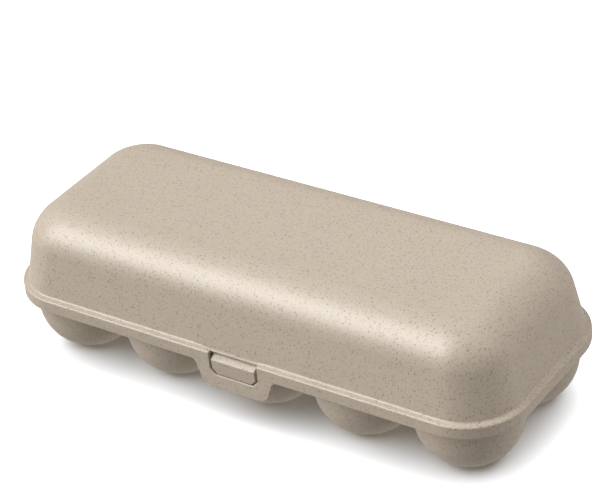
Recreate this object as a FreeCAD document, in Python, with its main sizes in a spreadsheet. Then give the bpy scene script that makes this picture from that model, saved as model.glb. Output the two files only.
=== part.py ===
import FreeCAD, Part
import math
import os
import Sketcher
from FreeCAD import Placement, Rotation, Vector

# Carton for ten eggs, in two mouldings of filled plastic.
# The base is a tray of ten round cups in two rows of five under a flat deck. The lid is a drafted dome with a
# narrow flange and a short skirt that closes over the deck. It turns on two pins at the back. At the front a
# springy plate hangs from the skirt, and the bar under its window snaps below a catch tab on the deck.
# Lengths in millimetres. Z up, X along the rows, front towards -Y, z = 0 at the flat feet of the cups.

doc = FreeCAD.newDocument("EggCarton")
sheet = doc.addObject("Spreadsheet::Sheet", "Sizes")

V = {}
row = [0]


def size(alias, value):
    row[0] += 1
    sheet.set("A%d" % row[0], alias)
    sheet.set("B%d" % row[0], "%.6f" % value)
    sheet.setAlias("B%d" % row[0], alias)
    V[alias] = round(value, 6)


# rim
size("rim_half_x", 129.0)
size("rim_half_y", 52.6)
size("rim_corner", 27.4)
size("skirt_bottom", 29.8)
size("skirt_top", 35.45)
size("skirt_wall", 1.8)
size("flange_under", 33.8)
# dome
size("dome_half_x", 126.4)
size("dome_half_y", 49.95)
size("dome_corner", 24.8)
size("dome_bottom", 36.6)
size("dome_top", 72.2)
size("dome_draft_deg", 10.8)
size("dome_fillet", 19.5)
size("dome_corner_fall", 0.72)
size("lid_wall", 1.8)
# cups and deck
size("cup_pitch", 50.1)
size("row_offset", 23.85)
size("cup_gauge_radius", 25.6)
size("cup_gauge_level", 29.8)
size("cup_draft_deg", 10.2)
size("cup_fillet", 23.0)
size("cup_foot_sink", 0.2)
size("cup_wall", 1.7)
size("deck_under", 31.7)
size("deck_top", 33.5)
size("deck_half_x", 126.9)
size("deck_half_y", 50.5)
size("deck_corner", 25.3)
# latch
size("window_half", 12.5)
size("window_chamfer", 2.8)
size("latch_pivot_y", -51.7)
size("latch_pivot_z", 29.65)
size("latch_thickness", 1.8)
size("latch_gap", 0.15)
size("latch_root_half", 22.6)
size("latch_neck_half", 19.6)
size("latch_waist_half", 18.3)
size("latch_bottom_half", 12.2)
size("latch_drop", 11.7)
size("latch_window_drop", 4.8)
size("latch_corner", 6.0)
size("latch_root_fillet", 3.0)
size("latch_tilt_deg", 2.5)
size("tab_half", 11.3)
size("tab_front", 52.1)
size("tab_foot_front", 51.6)
size("tab_bottom", 25.1)
size("tab_nose", 32.5)
size("tab_top", 33.4)
size("tab_chamfer", 2.6)
# hinge
size("hinge_x", 75.15)
size("hinge_y", 51.8)
size("hinge_z", 26.9)
size("eye_radius", 2.4)
size("pin_radius", 1.2)
size("pin_clearance", 0.05)
size("knuckle_half", 3.7)
size("lug_inner", 4.0)
size("lug_outer", 6.6)
# the model's centre in y, midway between the latch plate's foot and the back of the hinge
size("centre_y", 0.5453)

# dome sections, from the flange up: a drafted wall, then the large round over to the flat top
DRAFT = math.radians(V["dome_draft_deg"])


def dome_profile(radius, low):
    """Insets and levels of the dome's sections for a top round of this radius about the shared centre."""
    zc = V["dome_top"] - V["dome_fillet"]
    sc = (V["dome_fillet"] + (zc - V["dome_bottom"]) * math.sin(DRAFT)) / math.cos(DRAFT)
    end = (sc - radius * math.cos(DRAFT), zc + radius * math.sin(DRAFT))
    start = (end[0] - (end[1] - low) * math.tan(DRAFT), low)
    points = [start]
    for k in range(9):
        turn = DRAFT + (math.pi / 2 - DRAFT) * k / 8.0
        points.append((sc - radius * math.cos(turn), zc + radius * math.sin(turn)))
    return points


outer_sections = dome_profile(V["dome_fillet"], V["dome_bottom"])
inner_sections = dome_profile(V["dome_fillet"] - V["lid_wall"], V["flange_under"])
for tag, sections in (("out", outer_sections), ("inn", inner_sections)):
    for k, (inset, level) in enumerate(sections):
        size("%s_inset_%02d" % (tag, k), inset)
        size("%s_level_%02d" % (tag, k), level)

# cup profile: flat foot, a large round, then a drafted wall up to the deck
SLOPE = math.radians(V["cup_draft_deg"])


def wall_radius(level, wall):
    return V["cup_gauge_radius"] + (level - V["cup_gauge_level"]) * math.tan(SLOPE) - wall / math.cos(SLOPE)


arc_z = V["cup_fillet"] - V["cup_foot_sink"]
arc_x = wall_radius(arc_z, 0.0) - V["cup_fillet"] / math.cos(SLOPE)
inner_fillet = V["cup_fillet"] - V["cup_wall"]
size("cup_foot", arc_x + math.sqrt(V["cup_fillet"] ** 2 - arc_z ** 2))
size("cup_turn_x", arc_x + V["cup_fillet"] * math.cos(SLOPE))
size("cup_turn_z", arc_z - V["cup_fillet"] * math.sin(SLOPE))
size("cup_mouth", wall_radius(V["deck_under"], 0.0))
size("cup_inner_fillet", inner_fillet)
size("cup_floor", V["cup_wall"])
size("cup_inner_foot", arc_x + math.sqrt(inner_fillet ** 2 - (arc_z - V["cup_wall"]) ** 2))
size("cup_inner_turn_x", arc_x + inner_fillet * math.cos(SLOPE))
size("cup_inner_turn_z", arc_z - inner_fillet * math.sin(SLOPE))
size("cup_inner_mouth", wall_radius(V["deck_under"], V["cup_wall"]))
size("deck_hole_top", wall_radius(V["deck_top"], V["cup_wall"]))
doc.recompute()


def lin(*terms):
    """A length as a sum of multiples of named sizes: its expression and its value."""
    text, value = "", 0.0
    for factor, alias in terms:
        text += " %s %.6f * Sizes.%s" % ("-" if factor < 0 else "+", abs(factor), alias)
        value += factor * V[alias]
    text = text.strip()
    return (text[2:] if text[0] == "+" else "0 " + text, value)


ZERO = ("0", 0.0)


def bind(obj, prop, length):
    obj.setExpression(prop, length[0])


def body_named(label):
    body = doc.addObject("PartDesign::Body", label)
    body.Label = label
    return body


def origin_of(body, role):
    for feature in body.Origin.OriginFeatures:
        if feature.Role == role:
            return feature
    raise ValueError(role)


def sketch_on(body, name, role, offset):
    sketch = body.newObject("Sketcher::SketchObject", name)
    sketch.AttachmentSupport = (origin_of(body, role), [""])
    sketch.MapMode = "FlatFace"
    sketch.AttachmentOffset = Placement(Vector(0, 0, offset[1]), Rotation())
    bind(sketch, "AttachmentOffset.Base.z", offset)
    return sketch


def closed_outline(sketch, points, arcs):
    """A closed outline with every corner dimensioned from the sketch origin.

    points: (x, y) pairs of lengths. arcs: {index: (radius, left)}; the edge from that point to the next is an
    arc of that radius, with its centre on the left of the way along if left is true."""
    n = len(points)
    for i in range(n):
        a = Vector(points[i][0][1], points[i][1][1], 0)
        b = Vector(points[(i + 1) % n][0][1], points[(i + 1) % n][1][1], 0)
        if i in arcs:
            radius, left = arcs[i]
            middle = (a + b) * 0.5
            along = b - a
            half = along.Length / 2.0
            side = Vector(-along.y, along.x, 0).normalize() * (1 if left else -1)
            centre = middle + side * math.sqrt(max(radius[1] ** 2 - half ** 2, 0.0))
            bulge = centre - side * radius[1]
            sketch.addGeometry(Part.Arc(a, bulge, b), False)
        else:
            sketch.addGeometry(Part.LineSegment(a, b), False)
    ends = []
    for i in range(n):
        # an arc is stored counter-clockwise, so one with its centre on the right has its ends swapped
        swapped = i in arcs and not arcs[i][1]
        ends.append((2, 1) if swapped else (1, 2))
    for i in range(n):
        j = (i + 1) % n
        sketch.addConstraint(Sketcher.Constraint("Coincident", i, ends[i][1], j, ends[j][0]))
    for i in range(n):
        for kind, length, axis in (("DistanceX", points[i][0], -2), ("DistanceY", points[i][1], -1)):
            if abs(length[1]) < 1e-9:
                sketch.addConstraint(Sketcher.Constraint("PointOnObject", i, ends[i][0], axis))
                continue
            if length[1] > 0:
                index = sketch.addConstraint(Sketcher.Constraint(kind, -1, 1, i, ends[i][0], length[1]))
                text = length[0]
            else:
                index = sketch.addConstraint(Sketcher.Constraint(kind, i, ends[i][0], -1, 1, -length[1]))
                text = "-(%s)" % length[0]
            sketch.setExpression("Constraints[%d]" % index, text)
    for i, (radius, left) in sorted(arcs.items()):
        index = sketch.addConstraint(Sketcher.Constraint("Radius", i, radius[1]))
        sketch.setExpression("Constraints[%d]" % index, radius[0])
    return sketch


def minus(a, b):
    return ("(%s) - (%s)" % (a[0], b[0]), a[1] - b[1])


def neg(a):
    return ("-(%s)" % a[0], -a[1])


def rounded_rectangle(body, name, level, half_x, half_y, corner):
    sketch = sketch_on(body, name, "XY_Plane", level)
    x, y = half_x, half_y
    cx, cy = minus(half_x, corner), minus(half_y, corner)
    points = [
        (neg(cx), neg(y)), (cx, neg(y)), (x, neg(cy)), (x, cy),
        (cx, y), (neg(cx), y), (neg(x), cy), (neg(x), neg(cy)),
    ]
    return closed_outline(sketch, points, {1: (corner, True), 3: (corner, True), 5: (corner, True), 7: (corner, True)})


def pad(body, name, sketch, length, reverse=False, both=False):
    feature = body.newObject("PartDesign::Pad", name)
    feature.Profile = sketch
    feature.Reversed = reverse
    feature.Midplane = both
    bind(feature, "Length", length)
    return feature


def loft(body, name, sketches, kind="PartDesign::AdditiveLoft", ruled=False):
    feature = body.newObject(kind, name)
    feature.Profile = sketches[0]
    feature.Sections = sketches[1:]
    feature.Ruled = ruled
    feature.Closed = False
    return feature


def box_tool(body, name, low, high, kind="PartDesign::SubtractiveBox"):
    feature = body.newObject(kind, name)
    for prop, a, b in (("Length", low[0], high[0]), ("Width", low[1], high[1]), ("Height", low[2], high[2])):
        bind(feature, prop, minus(b, a))
    feature.Placement = Placement(Vector(low[0][1], low[1][1], low[2][1]), Rotation())
    for axis, length in zip("xyz", low):
        bind(feature, "Placement.Base.%s" % axis, length)
    return feature


def place(obj, x=ZERO, y=ZERO, z=ZERO, rotation=None):
    """Set a sub-part in the row frame, whose y origin is the middle of the whole carton."""
    y = minus(y, lin((1, "centre_y")))
    obj.Placement = Placement(Vector(x[1], y[1], z[1]), rotation or Rotation())
    for axis, length in (("x", x), ("y", y), ("z", z)):
        bind(obj, "Placement.Base.%s" % axis, length)


parts = []

# ---------------------------------------------------------------- lid shell
lid = body_named("lid_shell")
rim = lambda name, level: rounded_rectangle(
    lid, name, level, lin((1, "rim_half_x")), lin((1, "rim_half_y")), lin((1, "rim_corner")))
skirt = rim("skirt_outline", lin((1, "skirt_bottom")))
pad(lid, "skirt", skirt, lin((1, "skirt_top"), (-1, "skirt_bottom")))


used = [0]


def dome_section(tag, k):
    inset, level = "%s_inset_%02d" % (tag, k), "%s_level_%02d" % (tag, k)
    used[0] += 1
    return rounded_rectangle(
        lid, "%s_section_%02d_%02d" % (tag, k, used[0]), lin((1, level)),
        lin((1, "dome_half_x"), (-1, inset)), lin((1, "dome_half_y"), (-1, inset)),
        ("Sizes.dome_corner - Sizes.dome_corner_fall * Sizes.%s" % inset,
         V["dome_corner"] - V["dome_corner_fall"] * V[inset]))


# the flange slopes gently up to the foot of the dome
flange = loft(lid, "flange", [rim("flange_edge", lin((1, "skirt_top"))), dome_section("out", 0)], ruled=True)
foot_again = rounded_rectangle(
    lid, "dome_foot", lin((1, "dome_bottom")), lin((1, "dome_half_x")), lin((1, "dome_half_y")), lin((1, "dome_corner")))
loft(lid, "dome_wall", [foot_again, dome_section("out", 1)], ruled=True)
loft(lid, "dome_round", [dome_section("out", k) for k in range(1, len(outer_sections))])
loft(lid, "round_inside", [dome_section("inn", k) for k in range(1, len(inner_sections))],
     kind="PartDesign::SubtractiveLoft")
loft(lid, "wall_inside", [dome_section("inn", 0), dome_section("inn", 1)],
     kind="PartDesign::SubtractiveLoft", ruled=True)
inner_rim = rounded_rectangle(
    lid, "skirt_inside_outline", lin((1, "flange_under")), lin((1, "rim_half_x"), (-1, "skirt_wall")),
    lin((1, "rim_half_y"), (-1, "skirt_wall")), lin((1, "rim_corner"), (-1, "skirt_wall")))
inside = lid.newObject("PartDesign::Pocket", "skirt_inside")
inside.Profile = inner_rim
bind(inside, "Length", lin((1, "flange_under"), (-1, "skirt_bottom")))
# the flange and skirt are cut away over the catch tab, up to the dome's wall
window = box_tool(
    lid, "skirt_window",
    (lin((-1, "window_half")), lin((-1, "rim_half_y"), (-1, "skirt_wall")), lin((1, "skirt_bottom"), (-1, "skirt_wall"))),
    (lin((1, "window_half")), lin((-1, "dome_half_y")), lin((1, "dome_bottom"), (1, "skirt_wall"))))
lid.Tip = window
place(lid)
parts.append(lid)

# ---------------------------------------------------------------- latch plate, in its own frame about the bend line
latch = body_named("latch_plate")
front = lin((-0.5, "latch_thickness"))
plate = sketch_on(latch, "plate_outline", "XZ_Plane", front)
top = lin((-1, "latch_gap"))
neck_z = lin((-1, "latch_gap"), (-1, "latch_root_fillet"))
drop = lin((-1, "latch_drop"))
waist_z = lin((-1, "latch_drop"), (1, "latch_corner"))
win_top = lin((-1, "latch_gap"))
win_turn = lin((-1, "latch_window_drop"), (1, "window_chamfer"))
win_low = lin((-1, "latch_window_drop"))
root, neck = lin((1, "latch_root_half")), lin((1, "latch_neck_half"))
waist, low_x = lin((1, "latch_waist_half")), lin((1, "latch_bottom_half"))
win, win_in = lin((1, "window_half")), lin((1, "window_half"), (-1, "window_chamfer"))
fillet = lin((1, "latch_root_fillet"))
corner = lin((1.06, "latch_corner"))
closed_outline(plate, [
    (neg(root), top), (neg(neck), neck_z), (neg(waist), waist_z), (neg(low_x), drop), (low_x, drop),
    (waist, waist_z), (neck, neck_z), (root, top), (win, win_top), (win, win_turn), (win_in, win_low),
    (neg(win_in), win_low), (neg(win), win_turn), (neg(win), win_top),
], {0: (fillet, False), 2: (corner, True), 4: (corner, True), 6: (fillet, False)})
pad(latch, "plate", plate, lin((1, "latch_thickness")))
place(latch, y=lin((1, "latch_pivot_y")), z=lin((1, "latch_pivot_z")),
      rotation=Rotation(Vector(1, 0, 0), -V["latch_tilt_deg"]))
parts.append(latch)

# ---------------------------------------------------------------- lid knuckles, a barrel under the skirt with a short arm up to it
for side, sign in (("left", -1), ("right", 1)):
    knuckle = body_named("lid_knuckle_%s" % side)
    barrel = knuckle.newObject("PartDesign::AdditiveCylinder", "barrel_%s" % side)
    bind(barrel, "Radius", lin((1, "eye_radius")))
    bind(barrel, "Height", lin((2, "knuckle_half")))
    barrel.Placement = Placement(Vector(-V["knuckle_half"], 0, 0), Rotation(Vector(0, 1, 0), 90))
    bind(barrel, "Placement.Base.x", lin((-1, "knuckle_half")))
    box_tool(knuckle, "arm_%s" % side,
             (lin((-1, "knuckle_half")), lin((1, "rim_half_y"), (-1, "skirt_wall"), (-1, "hinge_y")), ZERO),
             (lin((1, "knuckle_half")), lin((1, "rim_half_y"), (-1, "hinge_y")), lin((1, "skirt_bottom"), (-1, "hinge_z"))),
             kind="PartDesign::AdditiveBox")
    bore = knuckle.newObject("PartDesign::SubtractiveCylinder", "bore_%s" % side)
    bind(bore, "Radius", lin((1, "pin_radius"), (1, "pin_clearance")))
    bind(bore, "Height", lin((2, "lug_outer")))
    bore.Placement = Placement(Vector(-V["lug_outer"], 0, 0), Rotation(Vector(0, 1, 0), 90))
    bind(bore, "Placement.Base.x", lin((-1, "lug_outer")))
    knuckle.Tip = bore
    place(knuckle, x=lin((sign, "hinge_x")), y=lin((1, "hinge_y")), z=lin((1, "hinge_z")))
    parts.append(knuckle)

# ---------------------------------------------------------------- hinge brackets and pins on the base
for side, sign in (("left", -1), ("right", 1)):
    bracket = body_named("hinge_bracket_%s" % side)
    for n, (a, b) in enumerate(((lin((-1, "lug_outer")), lin((-1, "lug_inner"))), (lin((1, "lug_inner")), lin((1, "lug_outer"))))):
        web = sketch_on(bracket, "web_%s_%d" % (side, n), "YZ_Plane", a)
        under = lin((1, "deck_under"), (-1, "hinge_z"))
        rear = lin((1, "deck_half_y"), (-1, "hinge_y"), (-0.0417, "eye_radius"))
        fore = lin((1, "deck_half_y"), (-1, "hinge_y"), (-2.95, "eye_radius"))
        closed_outline(web, [
            (fore, under), (fore, lin((1.05, "eye_radius"))),
            (lin((-0.55, "eye_radius")), lin((-0.84, "eye_radius"))), (ZERO, ZERO), (rear, lin((0.5, "eye_radius"))), (rear, under),
        ], {})
        pad(bracket, "lug_%s_%d" % (side, n), web, lin((1, "lug_outer"), (-1, "lug_inner")))
        eye = bracket.newObject("PartDesign::AdditiveCylinder", "eye_%s_%d" % (side, n))
        bind(eye, "Radius", lin((1, "eye_radius")))
        bind(eye, "Height", lin((1, "lug_outer"), (-1, "lug_inner")))
        eye.Placement = Placement(Vector(a[1], 0, 0), Rotation(Vector(0, 1, 0), 90))
        bind(eye, "Placement.Base.x", a)
    # a rib under the deck's edge joins the two lugs
    rib = box_tool(bracket, "rib_%s" % side,
                   (lin((-1, "lug_outer")), fore, lin((1, "deck_under"), (-1, "hinge_z"), (-1, "pin_radius"))),
                   (lin((1, "lug_outer")), lin((1, "deck_half_y"), (-1, "hinge_y"), (-2, "eye_radius")), under),
                   kind="PartDesign::AdditiveBox")
    hole = bracket.newObject("PartDesign::SubtractiveCylinder", "hole_%s" % side)
    bind(hole, "Radius", lin((1, "pin_radius")))
    bind(hole, "Height", lin((4, "lug_outer")))
    hole.Placement = Placement(Vector(-2 * V["lug_outer"], 0, 0), Rotation(Vector(0, 1, 0), 90))
    bind(hole, "Placement.Base.x", lin((-2, "lug_outer")))
    bracket.Tip = hole
    place(bracket, x=lin((sign, "hinge_x")), y=lin((1, "hinge_y")), z=lin((1, "hinge_z")))
    parts.append(bracket)

    pin = doc.addObject("Part::Cylinder", "hinge_pin_%s" % side)
    pin.Label = "hinge_pin_%s" % side
    bind(pin, "Radius", lin((1, "pin_radius")))
    bind(pin, "Height", lin((2, "lug_outer")))
    place(pin, x=lin((sign, "hinge_x"), (-1, "lug_outer")), y=lin((1, "hinge_y")), z=lin((1, "hinge_z")),
          rotation=Rotation(Vector(0, 1, 0), 90))
    parts.append(pin)

# ---------------------------------------------------------------- deck: a flat plate with ten drafted holes that carry on the cups' insides
deck = body_named("base_deck")
outline = rounded_rectangle(
    deck, "deck_outline", lin((1, "deck_under")), lin((1, "deck_half_x")), lin((1, "deck_half_y")), lin((1, "deck_corner")))
pad(deck, "deck_plate", outline, lin((1, "deck_top"), (-1, "deck_under")))
for name, sign in (("front", -1), ("rear", 1)):
    cone = deck.newObject("PartDesign::SubtractiveCone", "%s_hole" % name)
    bind(cone, "Radius1", lin((1, "cup_inner_mouth")))
    bind(cone, "Radius2", lin((1, "deck_hole_top")))
    bind(cone, "Height", lin((1, "deck_top"), (-1, "deck_under")))
    cone.Placement = Placement(Vector(-2 * V["cup_pitch"], sign * V["row_offset"], V["deck_under"]), Rotation())
    bind(cone, "Placement.Base.x", lin((-2, "cup_pitch")))
    bind(cone, "Placement.Base.y", lin((sign, "row_offset")))
    bind(cone, "Placement.Base.z", lin((1, "deck_under")))
    deck.Tip = cone
    doc.recompute()
    line = deck.newObject("PartDesign::LinearPattern", "%s_row" % name)
    line.Originals = [cone]
    line.Direction = (origin_of(deck, "X_Axis"), [""])
    line.Occurrences = 5
    bind(line, "Length", lin((4, "cup_pitch")))
    deck.Tip = line
    doc.recompute()
place(deck)
parts.append(deck)

# ---------------------------------------------------------------- cups, each a turned shell cut off half way to its neighbours
for row_name, sign in (("front", -1), ("rear", 1)):
    for k in range(5):
        name = "egg_cup_%s_%d" % (row_name, k + 1)
        cup = body_named(name)
        profile = sketch_on(cup, name + "_profile", "XZ_Plane", ZERO)
        closed_outline(profile, [
            (ZERO, ZERO), (lin((1, "cup_foot")), ZERO),
            (lin((1, "cup_turn_x")), lin((1, "cup_turn_z"))),
            (lin((1, "cup_mouth")), lin((1, "deck_under"))),
            (lin((1, "cup_inner_mouth")), lin((1, "deck_under"))),
            (lin((1, "cup_inner_turn_x")), lin((1, "cup_inner_turn_z"))),
            (lin((1, "cup_inner_foot")), lin((1, "cup_floor"))),
            (ZERO, lin((1, "cup_floor"))),
        ], {1: (lin((1, "cup_fillet")), True), 5: (lin((1, "cup_inner_fillet")), False)})
        turned = cup.newObject("PartDesign::Revolution", name + "_turned")
        turned.Profile = profile
        turned.ReferenceAxis = (profile, ["V_Axis"])
        turned.Angle = 360.0
        cup.Tip = turned
        far = lin((1, "cup_pitch"))
        half = lin((0.5, "cup_pitch"))
        offset = lin((1, "row_offset"))
        floor, roof = lin((-1, "cup_wall")), lin((1, "deck_top"))
        if k > 0:
            cup.Tip = box_tool(cup, name + "_trim_a", (neg(far), neg(far), floor), (neg(half), far, roof))
        if k < 4:
            cup.Tip = box_tool(cup, name + "_trim_b", (half, neg(far), floor), (far, far, roof))
        if sign < 0:
            cup.Tip = box_tool(cup, name + "_trim_c", (neg(far), offset, floor), (far, far, roof))
        else:
            cup.Tip = box_tool(cup, name + "_trim_c", (neg(far), neg(far), floor), (far, neg(offset), roof))
        place(cup, x=lin((k - 2, "cup_pitch")) if k != 2 else ZERO, y=lin((sign, "row_offset")))
        parts.append(cup)

# ---------------------------------------------------------------- catch tab, a lip on the deck's front edge that turns down through the window
tab = body_named("catch_tab")
section = sketch_on(tab, "tab_front_outline", "XZ_Plane", lin((1, "deck_half_y")))
half = lin((1, "tab_half"))
cut = lin((1, "tab_half"), (-1, "tab_chamfer"))
closed_outline(section, [
    (neg(half), lin((1, "tab_bottom"), (1, "tab_chamfer"))), (neg(cut), lin((1, "tab_bottom"))), (cut, lin((1, "tab_bottom"))),
    (half, lin((1, "tab_bottom"), (1, "tab_chamfer"))), (half, lin((1, "tab_top"))), (neg(half), lin((1, "tab_top"))),
], {})
pad(tab, "tab_block", section, lin((1, "tab_front"), (-1, "deck_half_y")))
slope = sketch_on(tab, "tab_slope_outline", "YZ_Plane", lin((-1, "tab_half")))
closed_outline(slope, [
    (lin((-1, "deck_half_y")), lin((1, "tab_top"))),
    (lin((-1, "tab_front")), lin((1, "tab_nose"))),
    (lin((-1, "tab_front")), lin((1, "tab_top"))),
], {})
bevel = tab.newObject("PartDesign::Pocket", "tab_slope")
bevel.Profile = slope
bevel.Reversed = True
bind(bevel, "Length", lin((2, "tab_half")))
# its front face leans back towards its lower edge
lean = sketch_on(tab, "tab_lean_outline", "YZ_Plane", lin((-1, "tab_half")))
closed_outline(lean, [
    (lin((-1, "tab_front")), lin((1, "tab_nose"))),
    (lin((-1, "tab_front")), lin((1, "tab_bottom"))),
    (lin((-1, "tab_foot_front")), lin((1, "tab_bottom"))),
], {})
draft_cut = tab.newObject("PartDesign::Pocket", "tab_lean")
draft_cut.Profile = lean
draft_cut.Reversed = True
bind(draft_cut, "Length", lin((2, "tab_half")))
tab.Tip = draft_cut
place(tab)
parts.append(tab)

# ---------------------------------------------------------------- recompute, verify, write
doc.recompute()
faults = []
for obj in doc.Objects:
    if "Invalid" in obj.State or "Error" in obj.State:
        faults.append("%s: %s" % (obj.Name, obj.State))
for obj in parts:
    shape = obj.Shape
    if shape.isNull() or not shape.isValid() or not shape.Solids:
        faults.append("%s has no valid solid" % obj.Label)
if faults:
    raise RuntimeError("; ".join(faults))

lid_volume = lid.Shape.Volume
tab_block = 2 * V["tab_half"] * (V["tab_front"] - V["deck_half_y"]) * (V["tab_top"] - V["tab_bottom"])
block_volume = 4 * V["rim_half_x"] * V["rim_half_y"] * (V["skirt_top"] - V["skirt_bottom"])
if lid_volume > block_volume * 1.4:
    raise RuntimeError("the lid isn't hollow: %.0f" % lid_volume)
if not 0.7 * tab_block < tab.Shape.Volume < 0.9 * tab_block:
    raise RuntimeError("the tab's slopes cut %.0f of %.0f" % (tab.Shape.Volume, tab_block))

os.makedirs("parts", exist_ok=True)
low = Vector(1e9, 1e9, 1e9)
high = Vector(-1e9, -1e9, -1e9)
for obj in parts:
    obj.Shape.exportStep("parts/%s.step" % obj.Label)
    box = obj.Shape.optimalBoundingBox()
    low = Vector(min(low.x, box.XMin), min(low.y, box.YMin), min(low.z, box.ZMin))
    high = Vector(max(high.x, box.XMax), max(high.y, box.YMax), max(high.z, box.ZMax))
    print("%-22s %3d solid %10.1f mm3" % (obj.Label, len(obj.Shape.Solids), obj.Shape.Volume))
print("box", low, high)
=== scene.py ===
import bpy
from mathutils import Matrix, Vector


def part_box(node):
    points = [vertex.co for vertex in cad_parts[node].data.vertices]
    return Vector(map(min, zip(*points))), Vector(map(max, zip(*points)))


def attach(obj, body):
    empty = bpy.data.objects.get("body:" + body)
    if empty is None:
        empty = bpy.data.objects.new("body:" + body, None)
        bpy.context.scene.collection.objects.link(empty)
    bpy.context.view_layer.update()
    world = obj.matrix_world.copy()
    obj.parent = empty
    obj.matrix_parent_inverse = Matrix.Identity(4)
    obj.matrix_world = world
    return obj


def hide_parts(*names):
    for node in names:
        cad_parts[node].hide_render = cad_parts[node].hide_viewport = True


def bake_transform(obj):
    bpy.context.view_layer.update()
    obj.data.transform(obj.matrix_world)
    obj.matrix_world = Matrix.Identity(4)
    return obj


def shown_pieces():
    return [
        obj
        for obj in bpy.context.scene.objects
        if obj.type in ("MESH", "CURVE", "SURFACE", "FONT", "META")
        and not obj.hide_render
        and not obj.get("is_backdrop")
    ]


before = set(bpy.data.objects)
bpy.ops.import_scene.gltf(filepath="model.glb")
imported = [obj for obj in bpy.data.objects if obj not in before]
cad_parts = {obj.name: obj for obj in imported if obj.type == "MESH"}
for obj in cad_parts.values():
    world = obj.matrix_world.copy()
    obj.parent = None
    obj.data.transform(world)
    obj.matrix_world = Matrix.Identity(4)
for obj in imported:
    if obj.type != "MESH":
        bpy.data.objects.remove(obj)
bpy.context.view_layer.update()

import math
from math import acos, atan2, cos, pi, radians, sin, sqrt, tan

import bmesh
import bpy
from mathutils import Matrix, Vector, geometry

# Carton for ten eggs. Lengths below are millimetres in the design frame, whose y = 0 is the middle of the lid's rim.
MM = 0.001
lid_lo, lid_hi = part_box("lid_shell")
SHIFT_Y = (lid_lo.y + lid_hi.y) / 2 / MM
RIM_X, RIM_Y = (lid_hi.x - lid_lo.x) / 2 / MM, (lid_hi.y - lid_lo.y) / 2 / MM
LID_TOP, SKIRT_BOTTOM = lid_hi.z / MM, lid_lo.z / MM
deck_lo, deck_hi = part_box("base_deck")
DECK_X, DECK_Y = (deck_hi.x - deck_lo.x) / 2 / MM, (deck_hi.y - deck_lo.y) / 2 / MM
DECK_UNDER, DECK_TOP = deck_lo.z / MM, deck_hi.z / MM


def place(p):
    return (p[0] * MM, (p[1] + SHIFT_Y) * MM, p[2] * MM)


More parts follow.
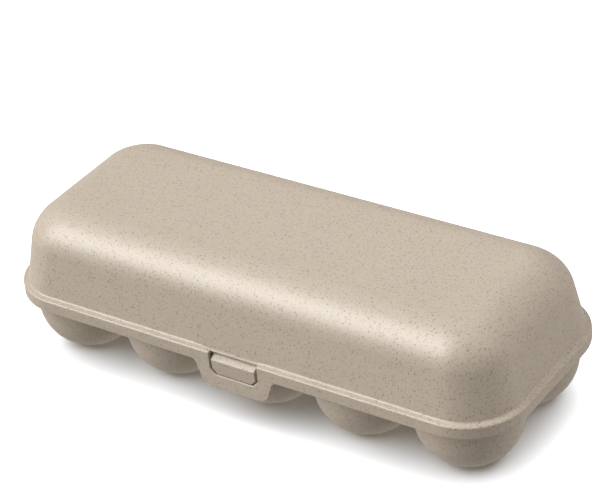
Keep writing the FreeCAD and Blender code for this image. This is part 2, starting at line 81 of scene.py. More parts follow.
# ------------------------------------------------------------------ materials
def plastic(name, base, fleck, strength, rough, seed, gloss=0.5):
    """Satin moulded plastic filled with fine plant fibre: flecks, faint mottling and a fine matt grain."""
    m = bpy.data.materials.new(name)
    m.use_nodes = True
    tree = m.node_tree
    tree.nodes.clear()
    n, link = tree.nodes.new, tree.links.new

    def node(kind, x, y, **values):
        made = n(kind)
        made.location = (x, y)
        for key, value in values.items():
            setattr(made, key, value)
        return made

    out = node("ShaderNodeOutputMaterial", 1200, 0)
    shader = node("ShaderNodeBsdfPrincipled", 900, 0)
    link(shader.outputs[0], out.inputs[0])
    coord = node("ShaderNodeTexCoord", -1400, 0)
    shift = node("ShaderNodeMapping", -1200, 0)
    shift.inputs["Location"].default_value = (seed * 0.173, seed * 0.311, seed * 0.071)
    link(coord.outputs["Object"], shift.inputs["Vector"])

    # ragged the coordinates a little, so that the flecks aren't round
    warp = node("ShaderNodeTexNoise", -1000, -300)
    warp.inputs["Scale"].default_value = 1500
    warp.inputs["Detail"].default_value = 2
    link(shift.outputs[0], warp.inputs["Vector"])
    centred = node("ShaderNodeVectorMath", -820, -300, operation="SUBTRACT")
    centred.inputs[1].default_value = (0.5, 0.5, 0.5)
    link(warp.outputs["Color"], centred.inputs[0])
    small = node("ShaderNodeVectorMath", -660, -300, operation="SCALE")
    small.inputs["Scale"].default_value = 0.0011
    link(centred.outputs[0], small.inputs[0])
    ragged = node("ShaderNodeVectorMath", -500, -150, operation="ADD")
    link(shift.outputs[0], ragged.inputs[0])
    link(small.outputs[0], ragged.inputs[1])

    def flecks(y, scale, stretch, core, edge, keep, amount):
        """A share of the Voronoi cells holds one fleck each."""
        squeeze = node("ShaderNodeMapping", -320, y)
        squeeze.inputs["Scale"].default_value = stretch
        link(ragged.outputs[0], squeeze.inputs["Vector"])
        cells = node("ShaderNodeTexVoronoi", -140, y, feature="F1")
        cells.inputs["Scale"].default_value = scale
        link(squeeze.outputs[0], cells.inputs["Vector"])
        spot = node("ShaderNodeMapRange", 40, y, interpolation_type="SMOOTHSTEP")
        spot.inputs["From Min"].default_value = core
        spot.inputs["From Max"].default_value = edge
        spot.inputs["To Min"].default_value = 1
        spot.inputs["To Max"].default_value = 0
        link(cells.outputs["Distance"], spot.inputs["Value"])
        split = node("ShaderNodeSeparateColor", 40, y - 180)
        link(cells.outputs["Color"], split.inputs[0])
        some = node("ShaderNodeMapRange", 210, y - 180)
        some.inputs["From Min"].default_value = 1 - keep
        some.inputs["From Max"].default_value = 1
        some.inputs["To Min"].default_value = 0
        some.inputs["To Max"].default_value = amount
        link(split.outputs[0], some.inputs["Value"])
        both = node("ShaderNodeMath", 380, y, operation="MULTIPLY")
        link(spot.outputs[0], both.inputs[0])
        link(some.outputs[0], both.inputs[1])
        return both.outputs[0]

    long_x = flecks(500, 900, (0.6, 1.0, 1.0), 0.10, 0.38, 0.85, strength)
    long_z = flecks(150, 800, (1.0, 1.0, 0.55), 0.10, 0.36, 0.85, strength)
    dust = flecks(-200, 1350, (1.0, 0.75, 1.0), 0.12, 0.52, 0.9, strength * 0.6)
    first = node("ShaderNodeMath", 560, 350, operation="MAXIMUM")
    link(long_x, first.inputs[0])
    link(long_z, first.inputs[1])
    every = node("ShaderNodeMath", 560, 150, operation="MAXIMUM", use_clamp=True)
    link(first.outputs[0], every.inputs[0])
    link(dust, every.inputs[1])

    cloud = node("ShaderNodeTexNoise", 200, 800)
    cloud.inputs["Scale"].default_value = 70
    cloud.inputs["Detail"].default_value = 4
    link(shift.outputs[0], cloud.inputs["Vector"])
    tone = node("ShaderNodeMix", 560, 700, data_type="RGBA", blend_type="MIX")
    tone.inputs[6].default_value = (*[c * 0.965 for c in base], 1)
    tone.inputs[7].default_value = (*[c * 1.035 for c in base], 1)
    link(cloud.outputs["Fac"], tone.inputs[0])
    colour = node("ShaderNodeMix", 740, 400, data_type="RGBA", blend_type="MIX")
    colour.inputs[7].default_value = (*fleck, 1)
    link(every.outputs[0], colour.inputs[0])
    link(tone.outputs[2], colour.inputs[6])
    link(colour.outputs[2], shader.inputs["Base Color"])

    grain = node("ShaderNodeTexNoise", 200, -600)
    grain.inputs["Scale"].default_value = 2600
    grain.inputs["Detail"].default_value = 3
    link(shift.outputs[0], grain.inputs["Vector"])
    matt = node("ShaderNodeMapRange", 560, -500)
    matt.inputs["From Min"].default_value = 0.3
    matt.inputs["From Max"].default_value = 0.7
    matt.inputs["To Min"].default_value = rough - 0.05
    matt.inputs["To Max"].default_value = rough + 0.05
    link(grain.outputs["Fac"], matt.inputs["Value"])
    link(matt.outputs[0], shader.inputs["Roughness"])
    height = node("ShaderNodeMath", 560, -750, operation="MULTIPLY_ADD")
    height.inputs[1].default_value = -0.35
    link(every.outputs[0], height.inputs[0])
    link(grain.outputs["Fac"], height.inputs[2])
    bump = node("ShaderNodeBump", 740, -650)
    bump.inputs["Strength"].default_value = 0.35
    bump.inputs["Distance"].default_value = 0.00002
    link(height.outputs[0], bump.inputs["Height"])
    link(bump.outputs[0], shader.inputs["Normal"])
    shader.inputs["Specular IOR Level"].default_value = gloss
    return m


BASE = (0.460, 0.394, 0.322)
FLECK = (0.170, 0.130, 0.092)
lid_plastic = plastic("lid_plastic", BASE, FLECK, 0.85, 0.39, 1)
tray_plastic = plastic("tray_plastic", BASE, FLECK, 0.85, 0.40, 2)
pin_plastic = plastic("pin_plastic", tuple(c * 0.82 for c in BASE), FLECK, 0.35, 0.38, 3)


# ------------------------------------------------------------------ mesh helpers
def finish_mesh(obj, weighted=True):
    """Smooth shading, with the flat and large faces setting the normals beside small roundings."""
    for poly in obj.data.polygons:
        poly.use_smooth = True
    if weighted:
        even = obj.modifiers.new("even_normals", "WEIGHTED_NORMAL")
        even.mode = "FACE_AREA"
        even.weight = 50
        even.keep_sharp = True
        bake(obj)
    return obj


def bake(obj):
    """Applies the object's modifiers to its mesh."""
    graph = bpy.context.evaluated_depsgraph_get()
    graph.update()
    mesh = bpy.data.meshes.new_from_object(obj.evaluated_get(graph), preserve_all_data_layers=True, depsgraph=graph)
    old = obj.data
    obj.modifiers.clear()
    obj.data = mesh
    name = old.name
    bpy.data.meshes.remove(old)
    mesh.name = name


def build(name, verts, faces, material, merge=0.002, weights=None, width=1.0, segments=4, sharp=None):
    """A mesh object from design-frame points. weights: {(i, j): offset in mm} for the edges to round."""
    bm = bmesh.new()
    made = [bm.verts.new(place(p)) for p in verts]
    bm.verts.ensure_lookup_table()
    for f in faces:
        try:
            bm.faces.new([made[i] for i in f])
        except ValueError:
            pass
    if weights:
        layer = bm.edges.layers.float.new("bevel_weight_edge")
        bm.edges.ensure_lookup_table()
        for (i, j), w in weights.items():
            edge = bm.edges.get((made[i], made[j]))
            if edge is None:
                raise RuntimeError("%s has no edge %d %d" % (name, i, j))
            edge[layer] = w / width
    if merge:
        bmesh.ops.remove_doubles(bm, verts=bm.verts, dist=merge * MM)
        bmesh.ops.dissolve_degenerate(bm, edges=bm.edges, dist=merge * MM * 0.5)
        bmesh.ops.delete(bm, geom=[v for v in bm.verts if not v.link_faces], context="VERTS")
    bmesh.ops.recalc_face_normals(bm, faces=bm.faces)
    mesh = bpy.data.meshes.new(name)
    bm.to_mesh(mesh)
    bm.free()
    mesh.materials.append(material)
    obj = bpy.data.objects.new(name, mesh)
    bpy.context.scene.collection.objects.link(obj)
    if weights:
        bevel = obj.modifiers.new("rounding", "BEVEL")
        bevel.width = width * MM
        bevel.segments = segments
        bevel.limit_method = "WEIGHT"
        bevel.use_clamp_overlap = False
        bevel.miter_outer = "MITER_SHARP"
        bevel.miter_inner = "MITER_SHARP"
        bevel.profile = 0.5
        bake(obj)
    creases(obj)
    return obj


def creases(obj, limit=40):
    """Every edge that turns by more than limit degrees is shaded as an edge; the rest is smooth."""
    bm = bmesh.new()
    bm.from_mesh(obj.data)
    for face in bm.faces:
        face.smooth = True
    for edge in bm.edges:
        edge.smooth = len(edge.link_faces) == 2 and edge.calc_face_angle() < radians(limit)
    bm.to_mesh(obj.data)
    bm.free()


# ------------------------------------------------------------------ lid moulding with its latch plate
DRAFT = radians(10.8)
DOME_X, DOME_Y, DOME_R, DOME_Z = RIM_X - 2.6, RIM_Y - 2.65, 24.8, 36.6
RIM_R, FALL, ROUND = 27.4, 0.72, 19.5
WALL, FLANGE_UNDER = 1.8, 33.8
CZ = LID_TOP - ROUND
CS = (ROUND + (CZ - DOME_Z) * sin(DRAFT)) / cos(DRAFT)
WIN, WIN_CUT = 12.5, 2.8
LATCH_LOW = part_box("latch_plate")[0].z / MM
TILT = radians(2.5)

front_xs = [-84, -68, -50, -35, -22.6, -WIN, WIN, 22.6, 35, 50, 68, 84]
side_ys = [-6, 6]
ARC = 22


def loop_points(hx, hy, r):
    """A rounded rectangle, counter-clockwise from the left end of the front."""
    cx, cy = hx - r, hy - r
    pts = [(x, -hy) for x in front_xs]
    pts += [(cx + r * cos(a), -cy + r * sin(a)) for a in (radians(-90 + 90 * k / ARC) for k in range(ARC + 1))]
    pts += [(hx, y) for y in side_ys]
    pts += [(cx + r * cos(a), cy + r * sin(a)) for a in (radians(90 * k / ARC) for k in range(ARC + 1))]
    pts += [(-x, hy) for x in front_xs]
    pts += [(-cx + r * cos(a), cy + r * sin(a)) for a in (radians(90 + 90 * k / ARC) for k in range(ARC + 1))]
    pts += [(-hx, -y) for y in side_ys]
    pts += [(-cx + r * cos(a), -cy + r * sin(a)) for a in (radians(180 + 90 * k / ARC) for k in range(ARC + 1))]
    return pts


def rim_loop(inset, z):
    return (RIM_X - inset, RIM_Y - inset, RIM_R - inset, z)


def dome_loop(s, z):
    return (DOME_X - s, DOME_Y - s, DOME_R - FALL * s, z)


def dome_section(radius, low, steps, wall_steps):
    """Insets and levels from the low level up the drafted wall and over the round to the flat top."""
    end = (CS - radius * cos(DRAFT), CZ + radius * sin(DRAFT))
    start = (end[0] - (end[1] - low) * tan(DRAFT), low)
    pts = [(start[0] + (end[0] - start[0]) * k / wall_steps, start[1] + (end[1] - start[1]) * k / wall_steps) for k in range(wall_steps)]
    for k in range(steps + 1):
        a = DRAFT + (pi / 2 - DRAFT) * k / steps
        pts.append((CS - radius * cos(a), CZ + radius * sin(a)))
    return pts


FLANGE_EDGE, FLANGE_FOOT = 35.55, 36.36
loops = [rim_loop(0, SKIRT_BOTTOM), rim_loop(0, FLANGE_EDGE)]
O0, O1, O2 = 0, 1, 2
outer = dome_section(ROUND, FLANGE_FOOT, 18, 2)
loops += [dome_loop(s, z) for s, z in outer]
top_rings = (5, 11, 17)
for extra in top_rings:
    loops.append((DOME_X - CS - extra, DOME_Y - CS - extra, max(DOME_R - FALL * CS - extra * 0.45, 0.6), LID_TOP))
top_last = len(loops) - 1
inner_first = len(loops)
for extra in reversed(top_rings):
    loops.append((DOME_X - CS - extra, DOME_Y - CS - extra, max(DOME_R - FALL * CS - extra * 0.45, 0.6), LID_TOP - WALL))
loops += [dome_loop(s, z) for s, z in reversed(dome_section(ROUND - WALL, FLANGE_UNDER, 12, 2))]
U2 = len(loops)
loops.append(dome_loop(0.0, FLANGE_UNDER))
U1 = len(loops)
loops.append(rim_loop(WALL, FLANGE_UNDER))
B1 = len(loops)
loops.append(rim_loop(WALL, SKIRT_BOTTOM))

verts, ring = [], []
for hx, hy, r, z in loops:
    start = len(verts)
    pts = loop_points(hx, hy, r)
    verts += [(x, y, z) for x, y in pts]
    ring.append(start)
COUNT = len(pts)
iL, iR = front_xs.index(-WIN), front_xs.index(WIN)
jL, jR = front_xs.index(-22.6), front_xs.index(22.6)


def at(loop, k):
    return ring[loop] + k % COUNT


faces = []
steps = [(k, k + 1) for k in range(len(loops) - 1) if k != top_last] + [(B1, O0)]
in_window = {(O0, O1), (O1, O2), (U2, U1), (U1, B1), (B1, O0)}
for a, b in steps:
    for k in range(COUNT):
        if k == iL and (a, b) in in_window:
            continue
        if jL <= k < jR and (a, b) == (B1, O0):
            continue
        faces.append((at(a, k), at(a, k + 1), at(b, k + 1), at(b, k)))
faces.append([at(top_last, k) for k in range(COUNT)])
faces.append([at(inner_first, k) for k in range(COUNT)])
# the dome's wall goes on down behind the catch tab
faces.append((at(O2, iL), at(O2, iR), at(U2, iR), at(U2, iL)))


def plate_y(z):
    return -RIM_Y - (SKIRT_BOTTOM - z) * tan(TILT)


def arc_between(a, b, radius, left, n):
    """Points strictly between a and b on an arc of this radius, with its centre on the left of the way or on the right."""
    mx, my = (a[0] + b[0]) / 2, (a[1] + b[1]) / 2
    dx, dy = b[0] - a[0], b[1] - a[1]
    h = sqrt(dx * dx + dy * dy) / 2
    nx, ny = (-dy / (2 * h), dx / (2 * h)) if left else (dy / (2 * h), -dx / (2 * h))
    d = sqrt(max(radius * radius - h * h, 0))
    cx, cy = mx + nx * d, my + ny * d
    a0, a1 = atan2(a[1] - cy, a[0] - cx), atan2(b[1] - cy, b[0] - cx)
    turn = (a1 - a0 + pi) % (2 * pi) - pi
    return [(cx + radius * cos(a0 + turn * k / n), cy + radius * sin(a0 + turn * k / n)) for k in range(1, n)]


neck, waist, low = (19.6, SKIRT_BOTTOM - 3.0), (18.3, LATCH_LOW + 6.0), (12.2, LATCH_LOW)
right_edge = [neck] + [waist] + arc_between(waist, low, 6.36, False, 8) + [low]
right_edge = arc_between((22.6, SKIRT_BOTTOM), neck, 3.0, True, 6) + right_edge
left_edge = [(-x, z) for x, z in reversed(right_edge)]
plate_outer = right_edge + left_edge          # from the right root down, along the foot and up to the left root
window_low, window_turn = SKIRT_BOTTOM - 4.95, SKIRT_BOTTOM - 4.95 + WIN_CUT
plate_window = [(-WIN, window_turn), (-WIN + WIN_CUT, window_low), (WIN - WIN_CUT, window_low), (WIN, window_turn)]


def add(points, back):
    first = len(verts)
    verts.extend((x, plate_y(z) + (WALL if back else 0), z) for x, z in points)
    return list(range(first, len(verts)))


fo, bo = add(plate_outer, False), add(plate_outer, True)
fw, bw = add(plate_window, False), add(plate_window, True)
front_outline = [at(O0, jR)] + fo + [at(O0, jL), at(O0, iL)] + fw + [at(O0, iR)]
back_outline = [at(B1, jR)] + bo + [at(B1, jL), at(B1, iL)] + bw + [at(B1, iR)]
faces.append(front_outline)
faces.append(list(reversed(back_outline)))
outer_f, outer_b = [at(O0, jR)] + fo + [at(O0, jL)], [at(B1, jR)] + bo + [at(B1, jL)]
for k in range(len(outer_f) - 1):
    faces.append((outer_f[k], outer_b[k], outer_b[k + 1], outer_f[k + 1]))
inner_f, inner_b = fw, bw
for k in range(len(inner_f) - 1):
    faces.append((inner_f[k], inner_b[k], inner_b[k + 1], inner_f[k + 1]))
# the window's two sides, from the flange down to the chamfer
faces.append([at(O2, iL), at(O1, iL), at(O0, iL), fw[0], bw[0], at(B1, iL), at(U1, iL), at(U2, iL)])
faces.append([at(O2, iR), at(U2, iR), at(U1, iR), at(B1, iR), bw[-1], fw[-1], at(O0, iR), at(O1, iR)])

weights = {}


def along(loop, first, last, w):
    for k in range(first, last):
        weights[(at(loop, k), at(loop, k + 1))] = w


def chain(indices, w):
    for a, b in zip(indices, indices[1:]):
        weights[(a, b)] = w


along(O1, iR, iL + COUNT, 0.62)
along(O2, iR, iL + COUNT, 0.75)
along(O0, jR, jL + COUNT, 0.40)
along(B1, jR, jL + COUNT, 0.30)
chain(outer_f, 0.42)
chain(outer_b, 0.32)
chain([at(O1, iL), at(O0, iL)] + fw + [at(O0, iR), at(O1, iR)], 0.42)
chain([at(U1, iL), at(B1, iL)] + bw + [at(B1, iR), at(U1, iR)], 0.28)
chain([at(O2, iL), at(O1, iL)], 0.42)
chain([at(O2, iR), at(O1, iR)], 0.42)

lid_moulding = build("lid_moulding", verts, faces, lid_plastic, weights=weights)
# the flange goes on as a narrow lip over the window
LIP = 1.0
section = [(-DOME_Y + 0.4, FLANGE_FOOT), (-DOME_Y, FLANGE_FOOT), (-DOME_Y - LIP, FLANGE_FOOT - 0.3 * LIP), (-DOME_Y - LIP, 35.45), (-DOME_Y + 0.4, 35.45)]
verts = [(-WIN - 0.3, y, z) for y, z in section] + [(WIN + 0.3, y, z) for y, z in section]
faces = [(0, 1, 2, 3, 4), (9, 8, 7, 6, 5)] + [(k, (k + 1) % 5, (k + 1) % 5 + 5, k + 5) for k in range(5)]
lip = build("window_lip", verts, faces, lid_plastic, merge=0, weights={(2, 7): 0.2, (3, 8): 0.12})
# rows across the plate, cut by level planes
bm = bmesh.new()
bm.from_mesh(lid_moulding.data)
for z in [SKIRT_BOTTOM - 0.12 - 0.34 * k for k in range(10)] + [24.0, 21.5]:
    near = [f for f in bm.faces if abs(f.calc_center_median().x) < 24 * MM and f.calc_center_median().y < (-RIM_Y + 3 + SHIFT_Y) * MM]
    geom = list({v for f in near for v in f.verts}) + list({e for f in near for e in f.edges}) + near
    bmesh.ops.bisect_plane(bm, geom=geom, plane_co=(0, 0, z * MM), plane_no=(0, 0, 1), dist=1e-6)
for edge in bm.edges:
    a, b = edge.verts[0].co, edge.verts[1].co
    if all(abs(v.x) < (WIN + 0.3) * MM and abs(v.z - FLANGE_FOOT * MM) < 0.02 * MM and v.y < 0 for v in (a, b)):
        edge.smooth = False
bm.from_mesh(lip.data)
bm.to_mesh(lid_moulding.data)
bm.free()
bpy.data.objects.remove(lip)
finish_mesh(lid_moulding)

# ------------------------------------------------------------------ base tray: the deck and ten cups as one moulding
CUP = radians(10.2)
PITCH, ROW = 50.1, 23.85
CUP_WALL, CUP_R, FOOT_SINK = 1.7, 23.0, 0.2
TAN, COS, SIN = tan(CUP), cos(CUP), sin(CUP)


def cone(z, wall):
    return 25.6 + (z - 29.8) * TAN - wall / COS


AZ = CUP_R - FOOT_SINK
AX = cone(AZ, 0) - CUP_R / COS
EDGE = 0.5
DECK_R = 25.3
specials = []
for dx, dy in ((PITCH / 2, ROW), (PITCH / 2, DECK_Y - ROW), (DECK_X - 2 * PITCH, ROW)):
    a = math.degrees(atan2(dy, dx))
    specials += [a, -a, 180 - a, a - 180]
rays = sorted(set(round(a, 6) for a in specials) | {
    round(3.75 * k, 6) for k in range(-47, 49)
    if all(abs((3.75 * k - a + 180) % 360 - 180) > 1.3 for a in specials)})


def reach(theta, k, sign):
    """Where a ray from a cup's centre leaves its cell, the outward normal there, and whether that is the deck's edge."""
    c, s = cos(radians(theta)), sin(radians(theta))
    hits = []
    for side in (-1, 1):
        edge = (k == 4 and side > 0) or (k == 0 and side < 0)
        reachx = (DECK_X - 2 * PITCH) if edge else PITCH / 2
        if c * side > 1e-9:
            hits.append((reachx / abs(c), 0 if edge else 1, (side, 0), edge))
        edge = side == sign
        reachy = (DECK_Y - ROW) if edge else ROW
        if s * side > 1e-9:
            hits.append((reachy / abs(s), 0 if edge else 1, (0, side), edge))
    best = min(h[0] for h in hits)
    dist, _, normal, edge = min((h for h in hits if h[0] < best + 1e-4), key=lambda h: h[1])
    x, y = c * dist, s * dist
    out = 1 if k == 4 else -1
    if k in (0, 4) and edge:
        cx, cy = (DECK_X - 2 * PITCH - DECK_R) * out, (DECK_Y - ROW - DECK_R) * sign
        if (x - cx) * out > 0 and (y - cy) * sign > 0:
            b = c * cx + s * cy
            dist = b + sqrt(max(b * b - cx * cx - cy * cy + DECK_R ** 2, 0))
            x, y = c * dist, s * dist
            normal = ((x - cx) / DECK_R, (y - cy) / DECK_R)
    return (x, y), normal, edge, dist


def arc_rows(cx, cz, radius, b0, b1, n, skip=0):
    return [(cx - radius * cos(b0 + (b1 - b0) * j / n), cz + radius * sin(b0 + (b1 - b0) * j / n)) for j in range(skip, n + 1)]


def inside_rows(dist):
    """The cup's inside from the middle of its floor, up its wall and over its lip: radii and levels, then the level it ends at."""
    radius = CUP_R - CUP_WALL
    foot = AX + sqrt(radius ** 2 - (AZ - CUP_WALL) ** 2)
    rows = [(foot * 0.5, CUP_WALL), (foot * 0.93, CUP_WALL)]
    p0, p1 = acos((AZ - CUP_WALL) / radius), pi / 2 - CUP
    rows += [(AX + radius * sin(p0 + (p1 - p0) * j / 12), AZ - radius * cos(p0 + (p1 - p0) * j / 12)) for j in range(13)]
    k = 1 / tan((pi / 2 + CUP) / 2)
    lip = min(max((dist - cone(DECK_TOP, CUP_WALL)) / k - 0.02, 0.5), 1.3)
    level = DECK_TOP
    if cone(level, CUP_WALL) + k * lip > dist:
        level = DECK_TOP + (dist - k * lip - cone(DECK_TOP, CUP_WALL)) / TAN
    rc, zc = cone(level, CUP_WALL) + k * lip, level - lip
    tangent = (rc - lip * COS, zc + lip * SIN)
    last = rows[-1]
    rows += [(last[0] + (tangent[0] - last[0]) * t, last[1] + (tangent[1] - last[1]) * t) for t in (0.33, 0.66)]
    rows += arc_rows(rc, zc, lip, CUP, pi / 2, 6)
    return rows, level


def outside_rows(dist):
    """The cup's outside from the middle of its foot to the deck's underside, or to the groove between two cups."""
    foot = AX + sqrt(CUP_R ** 2 - AZ ** 2)
    rows = [(foot * 0.5, 0.0), (foot * 0.93, 0.0)]
    groove = 0.9
    rc, zc = dist, 29.8 + (dist - groove / COS - 25.6) / TAN
    if zc > DECK_UNDER - groove:
        zc = DECK_UNDER - groove
        rc = cone(zc, 0) + groove / COS
    b0 = CUP
    tangent = (rc - groove * COS, zc + groove * SIN)
    turn_z = AZ - CUP_R * SIN
    p1 = pi / 2 - CUP
    if tangent[1] < turn_z:
        zc = AZ - sqrt((CUP_R + groove) ** 2 - (rc - AX) ** 2)
        ux, uz = (rc - AX) / (CUP_R + groove), (zc - AZ) / (CUP_R + groove)
        tangent = (AX + CUP_R * ux, AZ + CUP_R * uz)
        b0 = atan2(-uz, ux)
        p1 = acos(-uz)
    p0 = acos(AZ / CUP_R)
    rows += [(AX + CUP_R * sin(p0 + (p1 - p0) * j / 14), AZ - CUP_R * cos(p0 + (p1 - p0) * j / 14)) for j in range(15)]
    last = rows[-1]
    rows += [(last[0] + (tangent[0] - last[0]) * t, last[1] + (tangent[1] - last[1]) * t) for t in (0.33, 0.66)]
    rows += arc_rows(rc, zc, groove, b0, pi / 2, 6)
    return rows, zc + groove


verts, faces = [], []
for sign in (-1, 1):
    for k in range(5):
        cx, cy = (k - 2) * PITCH, sign * ROW
        data = [reach(a, k, sign) for a in rays]
        for which, section in ((0, inside_rows), (1, outside_rows)):
            middle = len(verts)
            verts.append((cx, cy, CUP_WALL if which == 0 else 0.0))
            columns = []
            for a, (edge_point, normal, edge, dist) in zip(rays, data):
                rows, level = section(dist - (EDGE if edge else 0))
                c, s = cos(radians(a)), sin(radians(a))
                points = [(cx + c * r, cy + s * r, z) for r, z in rows]
                target = (edge_point[0] - normal[0] * EDGE, edge_point[1] - normal[1] * EDGE) if edge else edge_point
                target = (cx + target[0], cy + target[1])
                last = points[-1]
                for t in (0.12, 0.5, 1.0):
                    points.append((last[0] + (target[0] - last[0]) * t, last[1] + (target[1] - last[1]) * t, level))
                first = len(verts)
                verts += points
                columns.append(list(range(first, first + len(points))))
            for j in range(len(rays)):
                a, b = columns[j], columns[(j + 1) % len(rays)]
                faces.append((middle, a[0], b[0]))
                for q in range(len(a) - 1):
                    faces.append((a[q], a[q + 1], b[q + 1], b[q]))
            if which == 0:
                top_ends = [c_[-1] for c_ in columns]
            else:
                low_ends = [c_[-1] for c_ in columns]
        # the deck's rounded edge
        strips = {}
        for j, (edge_point, normal, edge, dist) in enumerate(data):
            if not edge:
                continue
            x, y = cx + edge_point[0], cy + edge_point[1]
            column = [top_ends[j]]
            for zc, b0, b1 in ((DECK_TOP - EDGE, pi / 2, 0), (DECK_UNDER + EDGE, 0, -pi / 2)):
                for q in range(1, 4) if b1 == 0 else range(0, 3):
                    b = b0 + (b1 - b0) * q / 3
                    inset = EDGE * (1 - cos(b))
                    column.append(len(verts))
                    verts.append((x - normal[0] * inset, y - normal[1] * inset, zc + EDGE * sin(b)))
            column.append(low_ends[j])
            strips[j] = column
        for j in range(len(rays)):
            b = (j + 1) % len(rays)
            if j in strips and b in strips:
                for q in range(len(strips[j]) - 1):
                    faces.append((strips[j][q], strips[j][q + 1], strips[b][q + 1], strips[b][q]))
base_tray = build("base_tray", verts, faces, tray_plastic, merge=0.006)
finish_mesh(base_tray)


# ------------------------------------------------------------------ catch tab
TAB, TAB_CUT = 11.35, 2.6
tab_lo, tab_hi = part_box("catch_tab")
TAB_LOW, TAB_TOP, TAB_NOSE = tab_lo.z / MM, tab_hi.z / MM, 32.5
TAB_FRONT = tab_lo.y / MM - SHIFT_Y - 0.8


def tab_y(z):
    return TAB_FRONT + 0.5 * (TAB_NOSE - z) / (TAB_NOSE - TAB_LOW)


outline = [(-TAB, TAB_LOW + TAB_CUT), (-TAB + TAB_CUT, TAB_LOW), (TAB - TAB_CUT, TAB_LOW), (TAB, TAB_LOW + TAB_CUT), (TAB, TAB_NOSE), (-TAB, TAB_NOSE)]
BACK = -DOME_Y - 0.11
verts = [(x, tab_y(z), z) for x, z in outline]
verts += [(x, BACK, z) for x, z in outline[:4]] + [(TAB, BACK, TAB_TOP + 0.8), (-TAB, BACK, TAB_TOP + 0.8)]
faces = [(0, 1, 2, 3, 4, 5), (11, 10, 9, 8, 7, 6), (0, 6, 7, 1), (1, 7, 8, 2), (2, 8, 9, 3), (3, 9, 10, 4), (4, 10, 11, 5), (5, 11, 6, 0)]
weights = {}
chain([0, 1, 2, 3, 4, 5, 0], 0.38)
chain([4, 10], 0.38)
chain([5, 11], 0.38)
chain([0, 6], 0.3)
chain([1, 7], 0.3)
chain([2, 8], 0.3)
chain([3, 9], 0.3)
catch_tab = build("catch_tab_moulding", verts, faces, tray_plastic, merge=0, weights=weights)
finish_mesh(catch_tab)


# ------------------------------------------------------------------ hinge parts
def prism(name, outline, hole, x0, x1, rounding, material):
    """A plate between x0 and x1 with this outline of (y, z) points and an optional round hole at the origin, its rims rounded."""
    loops2 = [outline]
    if hole:
        loops2.append([(hole * cos(-2 * pi * k / 28), hole * sin(-2 * pi * k / 28)) for k in range(28)])
    vs, fs, caps = [], [], {}
    prof = [(rounding * (1 - sin(a)), rounding * (1 - cos(a))) for a in (pi / 2 * k / 3 for k in range(4))]
    for li, pts in enumerate(loops2):
        n = len(pts)
        area = sum(pts[i][0] * pts[(i + 1) % n][1] - pts[(i + 1) % n][0] * pts[i][1] for i in range(n))
        normals = []
        for i in range(n):
            a, b, c = pts[i - 1], pts[i], pts[(i + 1) % n]
            e0 = Vector((b[0] - a[0], b[1] - a[1])).normalized()
            e1 = Vector((c[0] - b[0], c[1] - b[1])).normalized()
            n0, n1 = Vector((-e0.y, e0.x)), Vector((-e1.y, e1.x))
            m = (n0 + n1).normalized()
            normals.append(m / max(m.dot(n0), 0.5))
        rows = []
        for inset, depth in prof:
            rows.append((inset, x0 + depth))
        for inset, depth in reversed(prof):
            rows.append((inset, x1 - depth))
        idx = []
        for inset, x in rows:
            first = len(vs)
            vs.extend((x, pts[i][0] + normals[i].x * inset, pts[i][1] + normals[i].y * inset) for i in range(n))
            idx.append([first + i for i in range(n)])
        for r0, r1 in zip(idx, idx[1:]):
            for i in range(n):
                fs.append((r0[i], r0[(i + 1) % n], r1[(i + 1) % n], r1[i]))
        caps[li] = (idx[0], idx[-1])
    for end in (0, 1):
        index = [i for li in sorted(caps) for i in caps[li][end]]
        polys = [[Vector((vs[i][1], vs[i][2], 0)) for i in caps[li][end]] for li in sorted(caps)]
        for tri in geometry.tessellate_polygon(polys):
            fs.append(tuple(index[t] for t in tri))
    return vs, fs


def joined(name, shells, cx, cy, cz, material):
    vs, fs = [], []
    for v, f in shells:
        first = len(vs)
        vs += [(x + cx, y + cy, z + cz) for x, y, z in v]
        fs += [tuple(i + first for i in face) for face in f]
    obj = build(name, vs, fs, material, merge=0.0005)
    obj.data.set_sharp_from_angle(angle=radians(50))
    return finish_mesh(obj)


pin_lo, pin_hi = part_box("hinge_pin_right")
HY, HZ = (pin_lo.y + pin_hi.y) / 2 / MM - SHIFT_Y, (pin_lo.z + pin_hi.z) / 2 / MM
EYE = 2.4


def eye_arc(a0, a1, n):
    return [(EYE * cos(a0 + (a1 - a0) * k / n), EYE * sin(a0 + (a1 - a0) * k / n)) for k in range(n + 1)]


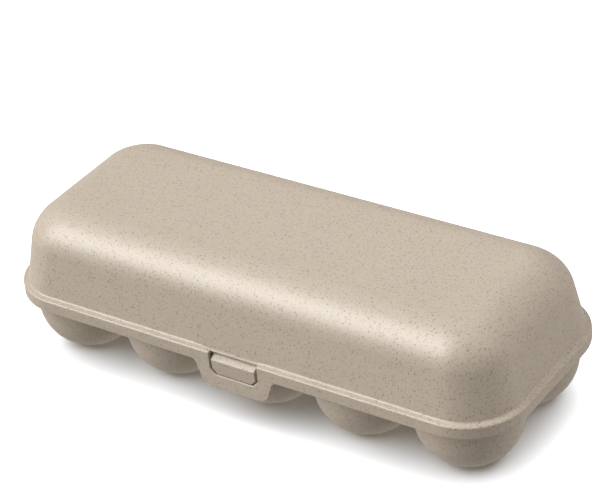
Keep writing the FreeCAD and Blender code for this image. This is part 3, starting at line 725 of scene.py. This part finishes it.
lug_outline = [(-8.38, 4.8), (-8.38, 2.52)] + eye_arc(atan2(-2.016, -1.32), atan2(1.949, -1.4), 26) + [(-1.4, 4.8)]
knuckle_outline = [(-1.0, 3.3)] + eye_arc(atan2(2.182, -1.0), 2 * pi + atan2(2.262, 0.8), 34) + [(0.8, 3.3)]
hinge_pieces = []
for side, sign in (("left", -1), ("right", 1)):
    px = sign * (pin_lo.x + pin_hi.x) / 2 / MM
    lugs = [prism("lug", lug_outline, 1.2, a, b, 0.22, tray_plastic) for a, b in ((-6.6, -4.0), (4.0, 6.6))]
    rib = prism("rib", [(-8.38, 4.8), (-8.38, 3.6), (-6.1, 3.6), (-6.1, 4.8)], None, -6.5, 6.5, 0.2, tray_plastic)
    bracket = joined("hinge_bracket_%s_moulding" % side, lugs + [rib], px, HY, HZ, tray_plastic)
    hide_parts("hinge_bracket_%s" % side)
    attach(bracket, "base")
    knuckle = joined("lid_knuckle_%s_moulding" % side, [prism("knuckle", knuckle_outline, 1.25, -3.7, 3.7, 0.25, lid_plastic)], px, HY, HZ, lid_plastic)
    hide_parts("lid_knuckle_%s" % side)
    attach(knuckle, "lid")
    # the pin: a rod with chamfered, slightly domed ends
    half = (pin_hi.x - pin_lo.x) / 2 / MM
    section = [(-half, 0.0), (-half + 0.02, 0.55), (-half + 0.10, 0.9), (-half + 0.3, 1.13), (-half + 0.6, 1.18), (half - 0.6, 1.18), (half - 0.3, 1.13), (half - 0.10, 0.9), (half - 0.02, 0.55), (half, 0.0)]
    vs, fs = [(section[0][0], 0, 0)], []
    for x, r in section[1:-1]:
        vs += [(x, r * cos(2 * pi * k / 32), r * sin(2 * pi * k / 32)) for k in range(32)]
    vs.append((section[-1][0], 0, 0))
    for k in range(32):
        fs.append((0, 1 + (k + 1) % 32, 1 + k))
        for q in range(len(section) - 3):
            a = 1 + 32 * q
            fs.append((a + k, a + (k + 1) % 32, a + 32 + (k + 1) % 32, a + 32 + k))
        a = 1 + 32 * (len(section) - 3)
        fs.append((a + k, a + (k + 1) % 32, len(vs) - 1))
    pin = joined("hinge_pin_%s_rod" % side, [(vs, fs)], px, HY, HZ, pin_plastic)
    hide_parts("hinge_pin_%s" % side)
    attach(pin, "base")

# ------------------------------------------------------------------ what rides on what
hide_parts("lid_shell", "latch_plate")
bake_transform(lid_moulding)
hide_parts("base_deck", *["egg_cup_%s_%d" % (row, k) for row in ("front", "rear") for k in range(1, 6)])
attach(base_tray, "base")
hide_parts("catch_tab")
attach(catch_tab, "base")

# ------------------------------------------------------------------ floor, light and camera
floor_mesh = bpy.data.meshes.new("floor")
floor_mesh.from_pydata([(-4, -4, -2e-5), (4, -4, -2e-5), (4, 4, -2e-5), (-4, 4, -2e-5)], [], [(0, 1, 2, 3)])
floor = bpy.data.objects.new("floor", floor_mesh)
bpy.context.scene.collection.objects.link(floor)
pale = bpy.data.materials.new("pale_floor")
pale.use_nodes = True
pale.node_tree.nodes["Principled BSDF"].inputs["Base Color"].default_value = (0.905, 0.92, 0.94, 1)
pale.node_tree.nodes["Principled BSDF"].inputs["Roughness"].default_value = 0.9
pale.node_tree.nodes["Principled BSDF"].inputs["Specular IOR Level"].default_value = 0.0
floor_mesh.materials.append(pale)
floor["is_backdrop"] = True
# the floor's own light doesn't spill on to the carton: the studio's lower half below stands for its bounce
floor.visible_diffuse = False
floor.visible_glossy = False
floor.visible_shadow = False

world = bpy.data.worlds.new("studio")
world.use_nodes = True
SKY, GROUND = 0.04, 0.52
sky = world.node_tree
height = sky.nodes.new("ShaderNodeSeparateXYZ")
sky.links.new(sky.nodes.new("ShaderNodeTexCoord").outputs["Generated"], height.inputs[0])
level = sky.nodes.new("ShaderNodeMapRange")
level.inputs["From Min"].default_value, level.inputs["From Max"].default_value = -0.12, 0.12
level.inputs["To Min"].default_value, level.inputs["To Max"].default_value = GROUND, SKY
sky.links.new(height.outputs["Z"], level.inputs["Value"])
# seen directly, beyond the floor's edge, it is as white as the floor
seen = sky.nodes.new("ShaderNodeMath")
seen.operation = "MAXIMUM"
sky.links.new(level.outputs[0], seen.inputs[0])
sky.links.new(sky.nodes.new("ShaderNodeLightPath").outputs["Is Camera Ray"], seen.inputs[1])
sky.links.new(seen.outputs[0], sky.nodes["Background"].inputs["Strength"])
sky.nodes["Background"].inputs["Color"].default_value = (1.0, 0.955, 0.88, 1)
bpy.context.scene.world = world


def sun(name, direction, strength, angle, receivers, colour=(1, 1, 1)):
    """A soft distant light that shines from this direction."""
    data = bpy.data.lights.new(name, "SUN")
    data.energy = strength
    data.angle = radians(angle)
    data.color = colour
    obj = bpy.data.objects.new(name, data)
    obj.rotation_mode = "QUATERNION"
    obj.rotation_quaternion = Vector(direction).normalized().to_track_quat("Z", "Y")
    bpy.context.scene.collection.objects.link(obj)
    obj.light_linking.receiver_collection = receivers
    return obj


def toward(azimuth, elevation):
    """A direction from the carton: azimuth 0 is the front, 90 the right end."""
    az, el = radians(azimuth), radians(elevation)
    return (sin(az) * cos(el), -cos(az) * cos(el), sin(el))


only_floor = bpy.data.collections.new("only_floor")
only_floor.objects.link(floor)
only_carton = bpy.data.collections.new("only_carton")
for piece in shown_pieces():
    only_carton.objects.link(piece)
sun("key_low", toward(-48, 12), 0.74, 30, only_carton).visible_glossy = False
sun("key", toward(-42, 36), 1.40, 30, only_carton)
sun("key_high", toward(-45, 62), 0.95, 34, only_carton)
sun("left", toward(-84, 24), 1.35, 36, only_carton).visible_glossy = False
sun("end", toward(118, 30), 1.3, 40, only_carton).visible_glossy = False
sun("end_high", toward(112, 64), 0.70, 40, only_carton).visible_glossy = False
sun("top", toward(180, 80), 0.72, 50, only_carton).visible_glossy = False
gloss = sun("gloss", toward(-42, 37), 1.82, 50, only_carton)
gloss.visible_diffuse = False
sun("floor_light", toward(-75, 84), 7.8, 100, only_floor)

# the camera stands to the front right and looks down
a, e, roll = radians(36.62659616), radians(32.75039488), radians(-6.08785372)
K = 129 / 132.5
back = Vector((sin(a) * cos(e), -cos(a) * cos(e), sin(e)))
right = Vector((cos(a), sin(a), 0))
up = back.cross(right)
right, up = right * cos(roll) + up * sin(roll), -right * sin(roll) + up * cos(roll)
where = (back * 1167.507195 - right * -0.504848 - up * -24.325282) * K + Vector((0, SHIFT_Y, 35.45))
camera_data = bpy.data.cameras.new("camera")
camera_data.sensor_width = 36
camera_data.lens = 2568.283 / 600 * 36
camera_data.clip_start, camera_data.clip_end = 0.05, 20
camera = bpy.data.objects.new("camera", camera_data)
bpy.context.scene.collection.objects.link(camera)
camera.matrix_world = Matrix((
    (right.x, up.x, back.x, where.x * MM),
    (right.y, up.y, back.y, where.y * MM),
    (right.z, up.z, back.z, where.z * MM),
    (0, 0, 0, 1)))
bpy.context.scene.camera = camera
bpy.context.scene.view_settings.view_transform = "Standard"
bpy.context.scene.view_settings.look = "None"
bpy.context.scene.view_settings.exposure = 0
bpy.context.scene.view_settings.gamma = 1

bpy.context.view_layer.update()
